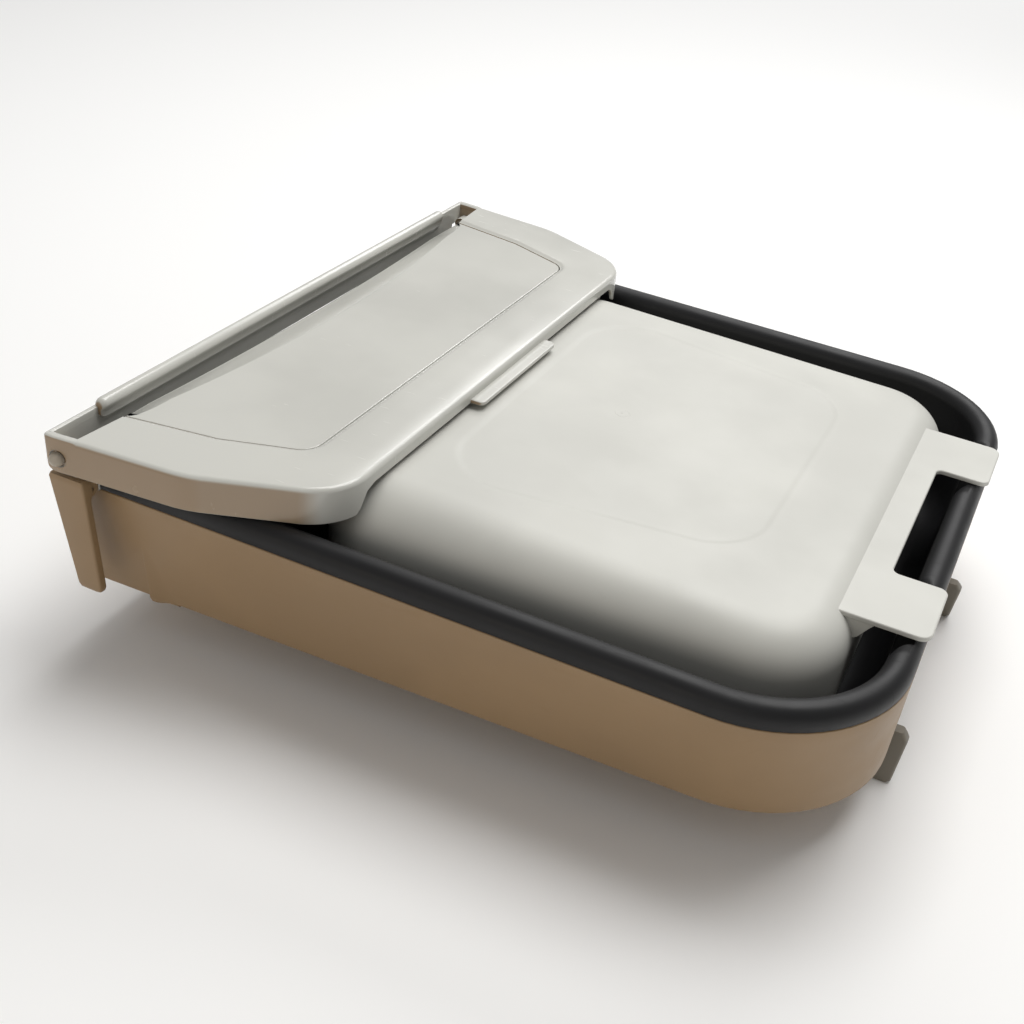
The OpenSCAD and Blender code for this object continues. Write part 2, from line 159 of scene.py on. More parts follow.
def extrude(name, outline, direction, bevel, segments=3):
    """A plate: outline is a list of 3-D points in one plane, pushed along direction, with rounded edges."""
    bm = bmesh.new()
    face = bm.faces.new([bm.verts.new(p) for p in outline])
    grown = bmesh.ops.extrude_face_region(bm, geom=[face])
    moved = [v for v in grown["geom"] if isinstance(v, bmesh.types.BMVert)]
    bmesh.ops.translate(bm, verts=moved, vec=direction)
    obj = from_bmesh(name, bm)
    add_bevel(obj, bevel, segments)
    return obj


def lathe(name, profile, centre, axis, steps=48):
    """Turns a profile of (radius, height) about axis, a unit vector, with height 0 at centre."""
    axis = Vector(axis)
    turn = axis.to_track_quat("Z", "Y")
    rings = []
    for r, h in profile:
        ring = [Vector((r * math.cos(a), r * math.sin(a), h)) for a in
                (2 * math.pi * k / steps for k in range(steps))]
        rings.append([centre + turn @ p for p in ring])
    return loft(name, rings)


def bake_modifiers(obj):
    """Replaces the mesh by its modified one, so that nothing else has to stay in the scene for it."""
    depsgraph = bpy.context.evaluated_depsgraph_get()
    mesh = bpy.data.meshes.new_from_object(obj.evaluated_get(depsgraph))
    obj.modifiers.clear()
    obj.data = mesh


def cut(obj, tool):
    mod = obj.modifiers.new("hole", "BOOLEAN")
    mod.operation = "DIFFERENCE"
    mod.solver = "EXACT"
    mod.object = tool
    bpy.context.view_layer.update()
    bake_modifiers(obj)
    bpy.data.objects.remove(tool)


# ---------------------------------------------------------------- materials
def noise(nodes, links, coords, scale, detail=3.0, stretch=None):
    tex = nodes.new("ShaderNodeTexNoise")
    tex.inputs["Scale"].default_value = scale
    tex.inputs["Detail"].default_value = detail
    source = coords
    if stretch:
        mapping = nodes.new("ShaderNodeMapping")
        mapping.inputs["Scale"].default_value = stretch
        links.new(coords, mapping.inputs["Vector"])
        source = mapping.outputs["Vector"]
    links.new(source, tex.inputs["Vector"])
    return tex.outputs["Fac"]


def remap(nodes, links, value, low, high, out_low, out_high):
    node = nodes.new("ShaderNodeMapRange")
    node.interpolation_type = "SMOOTHSTEP"
    sockets = (("From Min", low), ("From Max", high), ("To Min", out_low), ("To Max", out_high))
    for key, number in sockets:
        node.inputs[key].default_value = number
    links.new(value, node.inputs["Value"])
    return node.outputs["Result"]


def mix_colour(nodes, links, factor, a, b):
    node = nodes.new("ShaderNodeMix")
    node.data_type = "RGBA"
    links.new(factor, node.inputs[0])
    for socket, value in ((node.inputs[6], a), (node.inputs[7], b)):
        if isinstance(value, tuple):
            socket.default_value = (*value, 1.0)
        else:
            links.new(value, socket)
    return node.outputs[2]


def scaled(colour, factor, lift=0.0):
    return tuple(min(c * factor + lift, 1.0) for c in colour)


def plastic(name, base, rough, grain=0.02, wear=0.2, coat=0.0, side_painted_shade=None,
            specular=0.5, cloud=0.05, wave=0.35):
    """Moulded plastic: soft colour clouds, fine grain, uneven gloss, hairline scuffs and paler worn edges.

    The side colour is a painted warm shade laid on the faces that look across the box; it is fitted to one
    view of the lid's skirt.
    """
    mat = bpy.data.materials.new(name)
    mat.use_nodes = True
    nodes, links = mat.node_tree.nodes, mat.node_tree.links
    shader = nodes["Principled BSDF"]
    texture = nodes.new("ShaderNodeTexCoord")
    coords = texture.outputs["Object"]
    geometry = nodes.new("ShaderNodeNewGeometry")

    clouds = noise(nodes, links, coords, 9.0, 4.0)
    blend = remap(nodes, links, clouds, 0.35, 0.65, 0.0, 1.0)
    colour = mix_colour(nodes, links, blend, scaled(base, 1 - cloud), scaled(base, 1 + cloud))
    # painted shade: faces that look across the box are mixed towards a warm, darker colour that stands in for
    # shade on the lid's sides
    if side_painted_shade:
        split = nodes.new("ShaderNodeSeparateXYZ")
        links.new(texture.outputs["Normal"], split.inputs["Vector"])
        across = nodes.new("ShaderNodeMath")
        across.operation = "ABSOLUTE"
        links.new(split.outputs["Y"], across.inputs[0])
        sideways_painted_shade = remap(nodes, links, across.outputs["Value"], 0.72, 0.97, 0.0, 1.0)
        colour = mix_colour(nodes, links, sideways_painted_shade, colour, side_painted_shade)
    specks = noise(nodes, links, coords, 900.0, 2.0)
    speck_mask = remap(nodes, links, specks, 0.72, 0.80, 0.0, 0.3)
    colour = mix_colour(nodes, links, speck_mask, colour, scaled(base, 0.7))
    edges = remap(nodes, links, geometry.outputs["Pointiness"], 0.53, 0.62, 0.0, wear)
    colour = mix_colour(nodes, links, edges, colour, scaled(base, 1.2, 0.03))
    links.new(colour, shader.inputs["Base Color"])

    gloss = noise(nodes, links, coords, 28.0, 5.0)
    gloss_range = remap(nodes, links, gloss, 0.3, 0.7, rough - 0.04, rough + 0.05)
    scuffs = noise(nodes, links, coords, 60.0, 6.0, (1.0, 9.0, 1.0))
    scuff_range = remap(nodes, links, scuffs, 0.62, 0.74, 0.0, 0.10)
    total = nodes.new("ShaderNodeMath")
    total.operation = "ADD"
    links.new(gloss_range, total.inputs[0])
    links.new(scuff_range, total.inputs[1])
    links.new(total.outputs["Value"], shader.inputs["Roughness"])

    fine = nodes.new("ShaderNodeBump")
    fine.inputs["Strength"].default_value = 0.35
    fine.inputs["Distance"].default_value = grain * MM
    links.new(noise(nodes, links, coords, 1800.0, 2.0), fine.inputs["Height"])
    broad = nodes.new("ShaderNodeBump")
    broad.inputs["Strength"].default_value = wave
    broad.inputs["Distance"].default_value = 0.4 * MM
    links.new(noise(nodes, links, coords, 14.0, 1.0), broad.inputs["Height"])
    links.new(fine.outputs["Normal"], broad.inputs["Normal"])
    links.new(broad.outputs["Normal"], shader.inputs["Normal"])
    shader.inputs["Coat Weight"].default_value = coat
    shader.inputs["Coat Roughness"].default_value = 0.12
    shader.inputs["IOR"].default_value = 1.46
    shader.inputs["Specular IOR Level"].default_value = specular
    return mat


TAUPE = (0.315, 0.208, 0.110)
WARM_GREY = (0.585, 0.582, 0.540)
# a warm shade painted onto the lid's sideways faces; it stands in for shade, not for a colour of the plastic
SKIRT_PAINTED_SHADE = (0.33, 0.235, 0.145)
CHARCOAL = (0.0125, 0.0125, 0.0135)
FOOT_GREY = (0.20, 0.18, 0.145)
materials = {
    "tub": plastic("moulded_taupe", TAUPE, rough=0.42, grain=0.03),
    "hood": plastic("moulded_light_grey", WARM_GREY, rough=0.46, grain=0.012, coat=0.0),
    # the lid's faces that look across the box carry a painted warm shade
    "lid": plastic("moulded_lid_grey_painted_side_shade", WARM_GREY, rough=0.20, grain=0.006, coat=0.4, side_painted_shade=SKIRT_PAINTED_SHADE),
    "panel": plastic("glossy_panel_grey", WARM_GREY, rough=0.14, grain=0.003, coat=0.5, wave=0.6),
    "pan": plastic("moulded_charcoal", CHARCOAL, rough=0.44, grain=0.03, wear=0.05, specular=0.32),
    "pin": plastic("moulded_pin_grey", (0.42, 0.37, 0.30), rough=0.35, grain=0.006),
    "foot": plastic("moulded_foot_grey", FOOT_GREY, rough=0.45, grain=0.03),
}


def finish_piece(obj, body, material, slot, *replaced):
    obj.data.materials.clear()
    obj.data.materials.append(materials[material])
    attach(obj, body)
    if replaced:
        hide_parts(*replaced)
    return obj


# ---------------------------------------------------------------- tub
def tub_ring(inset, z):
    """A ring on the tub's leaning wall at height z, moved in by inset."""
    lean = 1 - (z - tub_z0) / (tub_z1 - tub_z0)
    width = half_w - SIDE_DRAFT * lean - inset
    return plan_ring(
        tub_low.x + END_DRAFT * lean + inset, tub_high.x - END_DRAFT * lean - inset,
        width, width - BASE_TAPER * lean,
        max(TUB_HINGE_R - inset, 1.5 * MM), FLANGE_CORNER - inset, z)


def tub_wall(x, z):
    """Distance of the outer side wall from the middle."""
    lean = 1 - max(z - tub_z0, 0) / (tub_z1 - tub_z0)
    x0 = tub_low.x + END_DRAFT * lean + TUB_HINGE_R
    x1 = tub_high.x - FLANGE_CORNER
    return half_w - SIDE_DRAFT * lean - BASE_TAPER * lean * (x - x0) / (x1 - x0)


def build_tub():
    floor_z = tub_z0 + TUB_WALL
    round_in, lip, edge = 6 * MM, 0.8 * MM, 1.6 * MM
    rings = [tub_ring(TUB_WALL + 18 * MM, floor_z), tub_ring(TUB_WALL + 9 * MM, floor_z)]
    for x, z in arc(0, 0, round_in, 270, 180, 6):
        rings.append(tub_ring(TUB_WALL + round_in + x, floor_z + round_in + z))
    for x, z in arc(0, 0, lip, 0, 90, 3):
        rings.append(tub_ring(TUB_WALL - lip + x, tub_z1 - lip + z))
    for x, z in arc(0, 0, lip, 90, 180, 3):
        rings.append(tub_ring(lip + x, tub_z1 - lip + z))
    wall_steps = 8
    for k in range(1, wall_steps):
        rings.append(tub_ring(0, mix(tub_z1, tub_z0, k / wall_steps)))
    for x, z in arc(0, 0, edge, 180, 270, 5):
        rings.append(tub_ring(edge + x, tub_z0 + edge + z))
    rings += [tub_ring(8 * MM, tub_z0), tub_ring(14 * MM, tub_z0)]
    shell = loft("tub_wall_shell", rings)
    finish_piece(shell, "tub", "tub", "tub_plastic", "tub_shell")
    for side, word in SIDES:
        build_lug(side, word)


def build_lug(side, word):
    """A small bump, proud at the tub's lower edge: crisp behind, fading out upward and forward."""
    x0, length, height, proud, root = -178 * MM, 18 * MM, 38 * MM, 2.6 * MM, 2.0 * MM
    rows = []
    steps, across = 24, 16
    for k in range(steps + 1):
        t = k / steps
        fade = 1 - t
        reach = length * (0.3 + 0.7 * fade)
        round_off = min(1.0, 0.4 + 7 * t)

        def level(u):
            lifted = 1.9 * MM * smoothstep(0.35, 0.8, u)
            return tub_low.z + 0.1 * MM + max(height * t, lifted)

        section = [(x0, side * (tub_wall(x0, level(0)) - root), level(0))]
        for j in range(across + 1):
            u = j / across
            x, z = x0 + reach * u ** 1.4, level(u)
            rise = math.sin(min(u / 0.14, 1) * math.pi / 2) * (1 - smoothstep(0.12, 1.0, u)) ** 1.2
            section.append((x, side * (tub_wall(x, z) + proud * fade * round_off * rise - 0.04 * MM), z))
        section.append((x, side * (tub_wall(x, z) - root), z))
        rows.append(section)
    lug = loft("tub_wall_lug_" + word, rows, smooth_angle=60)
    finish_piece(lug, "tub", "tub", "tub_plastic")


# ---------------------------------------------------------------- feet
def rounded_box_ring(cx, cy, hx, hy, r, z):
    ring = []
    for sx, sy, start in ((1, -1, 270), (1, 1, 0), (-1, 1, 90), (-1, -1, 180)):
        ring += arc(cx + sx * (hx - r), cy + sy * (hy - r), r, start, start + 90, 4)
    return [(x, y, z) for x, y in ring]


def build_foot(node, side, end):
    """A fin that splays outward and tucks in towards the floor, with a bevelled top and a rounded pad."""
    low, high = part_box(node)
    width, tuck, bevel, pad = 8 * MM, 2.5 * MM, 4 * MM, 1.5 * MM
    splay = (high.y - low.y) - width
    tip, heel = (high.x, low.x) if end > 0 else (low.x, high.x)
    top_y = (low.y if side > 0 else high.y) + side * width / 2
    rows = []
    steps = 14
    for k in range(steps + 1):
        t = k / steps
        z = high.z * (1 - t)
        from_top, to_floor = high.z - z, z
        top_cut = max(bevel - from_top, 0) * 0.9
        pad_cut = max(pad - to_floor, 0) * 0.9
        outer = tip - end * (tuck * t + top_cut + pad_cut)
        inner = heel + end * (tuck * t + pad_cut)
        half_y = width / 2 - pad_cut * 0.8 - max(1 * MM - from_top, 0) * 0.8
        rows.append(rounded_box_ring(
            (outer + inner) / 2, top_y + side * splay * t, abs(outer - inner) / 2, half_y, 1.8 * MM, z))
    foot = loft(node + "_fin", rows, smooth_angle=42)
    finish_piece(foot, "tub", "foot", "foot_plastic", node)


# ---------------------------------------------------------------- pan
def pan_ring(inset, z, taper=0.0):
    """A ring at inset from the rim's outer edge; taper narrows it towards the flange end."""
    return plan_ring(
        tub_low.x + inset, tub_high.x - inset, half_w - inset, half_w - inset - taper,
        max(HINGE_CORNER - inset, 1.5 * MM), max(FLANGE_CORNER - inset, 4 * MM), z)


def build_pan():
    """One closed moulding: down the outside of the wall, round the rolled rim and down the inside."""
    floor_z, wall, fillet, lean = pan_low.z + 2.6 * MM, 2.6 * MM, 14 * MM, 6 * MM
    under_z, steps, round_r = tub_z1 + 0.03 * MM, 6, BEAD_W / 2
    wall_in = BEAD_W - 0.2 * MM
    outer_in = wall_in - wall

    def wall_ring(inset, z):
        t = min((tub_z1 - z) / (tub_z1 - pan_low.z), 1.0)
        return pan_ring(inset + lean * t, z, BASE_TAPER * t)

    rings = [wall_ring(outer_in + fillet, pan_low.z)]
    for x, z in arc(0, 0, fillet, 270, 180, 6)[1:]:
        rings.append(wall_ring(outer_in + fillet + x, pan_low.z + fillet + z))
    for k in range(1, steps):
        rings.append(wall_ring(outer_in, mix(pan_low.z + fillet, under_z, k / steps)))
    rings += [pan_ring(outer_in, under_z), pan_ring(1.4 * MM, under_z)]
    rings += [pan_ring(0.5 * MM, under_z + 0.1 * MM), pan_ring(0.1 * MM, under_z + 0.6 * MM)]
    rings.append(pan_ring(0, tub_z1 + BEAD_H - round_r - 0.5 * MM))
    for x, z in arc(0, 0, round_r, 180, 0, 22):
        rings.append(pan_ring(round_r + x, tub_z1 + BEAD_H - round_r + z))
    rings.append(pan_ring(wall_in, tub_z1))
    for k in range(1, steps + 1):
        rings.append(wall_ring(wall_in, mix(tub_z1, floor_z + fillet, k / steps)))
    for x, z in arc(0, 0, fillet, 180, 270, 8)[1:]:
        rings.append(wall_ring(wall_in + fillet + x, floor_z + fillet + z))
    bowl = loft("litter_pan_bowl", rings)
    for side in (NEAR, FAR):
        seat_y0, seat_y1, r = 46 * MM, 127.6 * MM, 18 * MM
        x1, round_x = tub_high.x - SEAT_W, tub_high.x - BEAD_W + r
        reach = math.degrees(math.acos((round_x - x1) / r))
        outline = [(x1 - 20 * MM, seat_y0)] + arc(round_x, seat_y0, r, 180, 180 - reach, 8)
        outline += arc(round_x, seat_y1, r, 180 + reach, 180, 8) + [(x1 - 20 * MM, seat_y1)]
        points = [(x, side * y, tub_z1 + 2 * MM) for x, y in outline]
        tool = extrude("seat", points, (0, 0, 20 * MM), 0.4 * MM)
        cut(bowl, tool)
    bowl.data.set_sharp_from_angle(angle=math.radians(38))
    finish_piece(bowl, "pan", "pan", "pan_plastic", "litter_pan")


# ---------------------------------------------------------------- hood
DOME_LID_R, DOME_FLANGE_R = 34 * MM, 24 * MM
DOME_LID_CORNER, DOME_FLANGE_CORNER = 36 * MM, 45 * MM
DOME_TAPER, DOME_FALL, DOME_WALL = 6 * MM, 3.5 * MM, 2.6 * MM


def dome_ring(lid_inset, flange_inset, lid_z, flange_z):
    """A ring on the dome; inset and height are given for its lid end and its flange end."""
    ring = plan_ring(
        hood_low.x + lid_inset, hood_high.x - flange_inset,
        hood_high.y - lid_inset, hood_high.y - DOME_TAPER - flange_inset,
        max(DOME_LID_CORNER - lid_inset, 1.5 * MM), max(DOME_FLANGE_CORNER - flange_inset, 4 * MM), 0)
    x0, x1 = hood_low.x + DOME_LID_CORNER, hood_high.x - DOME_FLANGE_CORNER
    return [(x, y, mix(lid_z, flange_z, min(max((x - x0) / (x1 - x0), 0), 1))) for x, y, _ in ring]


def mix_rings(a, b, t):
    return [tuple(mix(m, n, t) for m, n in zip(p, q)) for p, q in zip(a, b)]


def build_dome():
    top, low, wall = hood_high.z, hood_low.z, DOME_WALL
    lid_spring, flange_spring = top - DOME_LID_R, top - DOME_FALL - DOME_FLANGE_R

    def edge_ring(angle, inset):
        c, s = math.cos(math.radians(angle)), math.sin(math.radians(angle))
        a, b = DOME_LID_R - inset, DOME_FLANGE_R - inset
        return dome_ring(DOME_LID_R + a * c, DOME_FLANGE_R + b * c, lid_spring + a * s, flange_spring + b * s)

    rings = [dome_ring(DOME_LID_R + 40 * MM, DOME_FLANGE_R + 34 * MM, top - wall, top - wall)]
    rings += [edge_ring(90 + 90 * k / 12, wall) for k in range(13)]
    rings += [dome_ring(d, d, low + z, low + z) for d, z in (
        (wall, 0.6 * MM), (wall - 0.5 * MM, 0), (0.5 * MM, 0), (0, 0.6 * MM))]
    wall_steps = 4
    for k in range(1, wall_steps):
        t = k / wall_steps
        rings.append(dome_ring(0, 0, mix(low, lid_spring, t), mix(low, flange_spring, t)))
    rings += [edge_ring(180 - 90 * k / 28, 0) for k in range(29)]
    # the crown: a soft-edged field, a little lower than its border
    x0, x1, w0, w1, r0, r1 = (
        hood_low.x + 45 * MM, hood_high.x - 59 * MM, 118 * MM, 105 * MM, 40 * MM, 38 * MM)
    sink, band, band_steps = 0.7 * MM, 5 * MM, 6
    field = plan_ring(x0, x1, w0, w1, r0, r1, top)
    rings += [mix_rings(rings[-1], field, t) for t in (0.3, 0.6, 0.85, 0.97)]
    for k in range(1, band_steps + 1):
        t = k / band_steps
        d = band * t
        z = top - sink * smoothstep(0, 1, t)
        rings.append(plan_ring(x0 + d, x1 - d, w0 - d, w1 - d, r0 - d, r1 - d, z))
    inner = rings[-1]
    centre_x = (x0 + x1) / 2
    for t in (0.25, 0.5, 0.75, 0.92):
        rings.append([(mix(x, centre_x, t), y * (1 - t), z) for x, y, z in inner])
    dome = loft("hood_dome", rings)
    finish_piece(dome, "hood", "hood", "hood_plastic", "hood_shell")
    build_gate_mark(Vector((8 * MM, 0, top - sink)))


def build_gate_mark(centre):
    """The small moulding gate in the middle of the dome, a fraction of a millimetre proud."""
    profile = (
        (4.6, -0.2), (4.5, 0.05), (4.1, 0.12), (3.7, 0.05),
        (3.4, -0.02), (1.4, -0.02), (1.1, 0.16), (0.5, 0.2))
    mark = lathe("hood_gate_mark", [(r * MM, h * MM) for r, h in profile], centre, (0, 0, 1))
    finish_piece(mark, "hood", "hood", "hood_plastic")


FLANGE_T, NOTCH_W, NOTCH_X = 3 * MM, 61 * MM, 185.5 * MM


def build_flange():
    x0, x1, w, top = 150 * MM, flange_high.x, flange_high.y, flange_high.z
    tip, mouth, inner = 6.5 * MM, 5 * MM, 4 * MM
    half = [(x0, w)]
    half += arc(x1 - tip, w - tip, tip, 90, 0, 8)
    half += arc(x1 - mouth, NOTCH_W + mouth, mouth, 0, -90, 8)
    half += arc(NOTCH_X + inner, NOTCH_W - inner, inner, 90, 180, 8)
    outline = half + [(x, -y) for x, y in reversed(half)]
    z = top - FLANGE_T
    plate = extrude("flange_plate", [(x, y, z) for x, y in outline], (0, 0, FLANGE_T), 0.9 * MM, 4)
    finish_piece(plate, "hood", "hood", "hood_plastic", "grip_flange")
    for side, word in SIDES:
        build_rib(side, word, z, w)


def build_rib(side, word, z, w):
    """A thin curved gusset from the dome's end wall to the underside of the flange."""
    thick, depth = 2.4 * MM, 11 * MM
    y = side * (w - thick - 1 * MM)
    wall_x, back_x, tip_x = hood_high.x, hood_high.x - 14 * MM, NOTCH_X + 3 * MM
    outline = [(back_x, z - depth), (wall_x - 0.4 * MM, z - depth)]
    steps = [k / 10 for k in range(1, 11)]
    outline += [(mix(wall_x, tip_x, t ** 0.8), z - depth * (1 - t) ** 1.4) for t in steps]
    outline += [(tip_x, z + 0.5 * MM), (back_x, z + 0.5 * MM)]
    points = [(x, y, height) for x, height in outline]
    rib = extrude("flange_rib_" + word, points, (0, side * thick, 0), 0.5 * MM)
    finish_piece(rib, "hood", "hood", "hood_plastic")


# ---------------------------------------------------------------- lid
LID_W = lid_high.y
LID_TOP = lid_high.z
LID_T, EAR_T, WALL_T = 2.6 * MM, 5 * MM, 3 * MM
RECESS, SLOPE = 1.4 * MM, 3.2 * MM
UNDER_Z = LID_TOP - RECESS - LID_T
ARM_BACK_X = -197.5 * MM
EAR_R = 8.8 * MM
CORNER_R = 2.6 * MM
FRONT_SKIRT_Z, FRONT_SKIRT_W = 121.3 * MM, 158 * MM
REAR_WALL_Z, REAR_WALL_LOW_Z, REAR_WALL_LOW_W = 116 * MM, 110.6 * MM, 197.5 * MM


def belt(discs, arc_steps, line_steps):
    """Samples (x, y, nx, ny) along a taut belt round discs (x, y, r), with the outward normal."""
    touches = []
    for (ax, ay, ar), (bx, by, br) in zip(discs, discs[1:]):
        dx, dy = bx - ax, by - ay
        length = math.hypot(dx, dy)
        dx, dy = dx / length, dy / length
        along = (ar - br) / length
        across = math.sqrt(1 - along * along)
        nx, ny = along * dx + across * dy, along * dy - across * dx
        touches.append(((ax + ar * nx, ay + ar * ny), (bx + br * nx, by + br * ny), (nx, ny)))
    samples = []
    for k, (start, end, normal) in enumerate(touches):
        steps = line_steps[k]
        for s in range(steps + 1):
            t = s / steps
            samples.append((mix(start[0], end[0], t), mix(start[1], end[1], t), *normal))
        if k + 1 < len(touches):
            x, y, r = discs[k + 1]
            a0 = math.atan2(normal[1], normal[0])
            a1 = math.atan2(touches[k + 1][2][1], touches[k + 1][2][0])
            for s in range(1, arc_steps):
                a = mix(a0, a1, s / arc_steps)
                samples.append((x + r * math.cos(a), y + r * math.sin(a), math.cos(a), math.sin(a)))
    return samples


ARC_STEPS, LINE_STEPS = 14, (14, 4, 44, 4, 14)


def mirrored(discs):
    return discs + [(x, -y, r) for x, y, r in reversed(discs)]


def lid_belts():
    """The lid's outer edge and the panel's edge, sampled together from the near arm to the far one."""
    arm = (-152 * MM, -(LID_W - 65 * MM), 60 * MM)
    front = (lid_high.x - 33 * MM, -(LID_W - 57 * MM), 33 * MM)
    square_x = lid_low.x + 4 * MM
    edge = belt([(square_x, -LID_W, 0), arm], 1, (1,))
    (x0, y0, _, _), (x1, y1, _, _) = edge
    start_y = mix(y0, y1, (ARM_BACK_X - x0) / (x1 - x0))
    outer = belt(mirrored([(ARM_BACK_X, start_y, 0), arm, front]), ARC_STEPS, LINE_STEPS)
    inner_discs = [
        (ARM_BACK_X, -176.7 * MM, 0),
        (-150 * MM, -158 * MM, 11 * MM),
        (-115 * MM, -143 * MM, 13 * MM)]
    inner = belt(mirrored(inner_discs), ARC_STEPS, LINE_STEPS)
    return outer, inner


def lid_section(o, q, top_r, slope, recess, thick, low_z, under_z):
    """One closed section: skirt, rounded top edge, top, soft step at the panel, and back along the inside."""
    ox, oy, nx, ny = o
    qx, qy, mx, my = q

    def outer(d, z):
        return (ox - d * nx, oy - d * ny, z)

    def inner(d, z):
        return (qx + d * mx, qy + d * my, z)

    edge = 0.5 * MM
    points = [outer(thick, low_z + edge), outer(thick - edge, low_z)]
    points += [outer(edge, low_z), outer(0, low_z + edge)]
    points.append(outer(0, mix(low_z, LID_TOP - top_r, 0.6)))
    points += [outer(top_r + x, LID_TOP - top_r + z) for x, z in arc(0, 0, top_r, 180, 90, 9)]
    a, b = outer(top_r, LID_TOP), inner(slope, LID_TOP)
    points += [tuple(mix(p, r, t) for p, r in zip(a, b)) for t in (0.3, 0.65, 0.97)]
    for k in range(1, 7):
        t = k / 6
        points.append(inner(slope * (1 - t) + 0.15 * MM, LID_TOP - recess * smoothstep(0, 1, t)))
    points.append(inner(0.05 * MM, LID_TOP - recess - 0.3 * MM))
    points += [inner(0.05 * MM, under_z), outer(thick, under_z)]
    return points


def skirt_low(x, y):
    """Lower edge of the skirt: low on the arms, stepping up along the front to clear the dome."""
    in_middle = 1 - smoothstep(FRONT_SKIRT_W - 4 * MM, FRONT_SKIRT_W + 8 * MM, abs(y))
    rise = in_middle * smoothstep(-112 * MM, -100 * MM, x)
    return mix(lid_low.z, FRONT_SKIRT_Z, rise)


def ear_low(x):
    """Lower edge of an ear, rounded about the hinge axis behind it."""
    back = max(pin_x - x, 0)
    return max(pin_z - math.sqrt(max(EAR_R ** 2 - back ** 2, 0)), lid_low.z)


def rear_stations(ear_y):
    """Wall stations from the far ear's front, round the rear corners, to the near ear's front."""
    back_x = lid_low.x
    far_half = [(mix(ARM_BACK_X, back_x + CORNER_R, t), mix(ear_y, LID_W, min(t * 1.3, 1)), 0.0, 1.0)
                for t in (k / 10 for k in range(1, 11))]
    for a in range(100, 181, 10):
        c, s = math.cos(math.radians(a)), math.sin(math.radians(a))
        far_half.append((back_x + CORNER_R + CORNER_R * c, LID_W - CORNER_R + CORNER_R * s, c, s))
    for y in (REAR_WALL_LOW_W + 12 * MM, REAR_WALL_LOW_W, REAR_WALL_LOW_W - 0.2 * MM):
        far_half.append((back_x, y, -1.0, 0.0))
    wall_steps = 14
    far_half += [(back_x, REAR_WALL_LOW_W * (1 - k / wall_steps), -1.0, 0.0) for k in range(1, wall_steps)]
    return far_half + [(back_x, 0.0, -1.0, 0.0)] + [(x, -y, nx, -ny) for x, y, nx, ny in reversed(far_half)]


def build_lid_frame():
    outer, inner = lid_belts()
    rings = []
    for o, q in zip(outer, inner):
        rings.append(lid_section(o, q, 3.0 * MM, SLOPE, RECESS, LID_T, skirt_low(o[0], o[1]), UNDER_Z))
    for o in rear_stations(outer[0][1] * -1):
        x, y, nx, ny = o
        wall = abs(nx)
        thick = mix(EAR_T, WALL_T, wall)
        wall_z = REAR_WALL_LOW_Z if abs(y) < REAR_WALL_LOW_W - 0.1 * MM else REAR_WALL_Z
        low_z = mix(ear_low(x), wall_z, smoothstep(0.3, 1.0, wall))
        q = (x - thick * nx, y - thick * ny, nx, ny)
        rings.append(lid_section(o, q, 1.6 * MM, 1.2 * MM, 0.7 * MM, thick, low_z, UNDER_Z))
    frame_piece = loft("lid_frame_moulding", rings, closed=True)
    for side, _ in SIDES:
        dish = ((2.9, -8), (2.9, -1.8), (4.4, -1.8), (5.0, 0.0), (5.3, 2.0))
        centre = Vector((pin_x, side * LID_W, pin_z))
        tool = lathe("dish", [(r * MM, h * MM) for r, h in dish], centre, (0, side, 0), 40)
        cut(frame_piece, tool)
    frame_piece.data.set_sharp_from_angle(angle=math.radians(38))
    finish_piece(frame_piece, "lid", "lid", "hood_plastic", "lid_frame")


ROLL_DROP, ROLL_FLAT_W = 7.5 * MM, 150 * MM
ROLL_KNEE, ROLL_KNEE_FALL = 0.85, 0.72


def roll_fall(t):
    """How far down the panel's rear roll has come: an even slope, then a round-over past its knee."""
    if t < ROLL_KNEE:
        return ROLL_KNEE_FALL * t / ROLL_KNEE
    past = (t - ROLL_KNEE) / (1 - ROLL_KNEE)
    return ROLL_KNEE_FALL + (1 - ROLL_KNEE_FALL) * (1 - math.sqrt(max(1 - past ** 2, 0)))


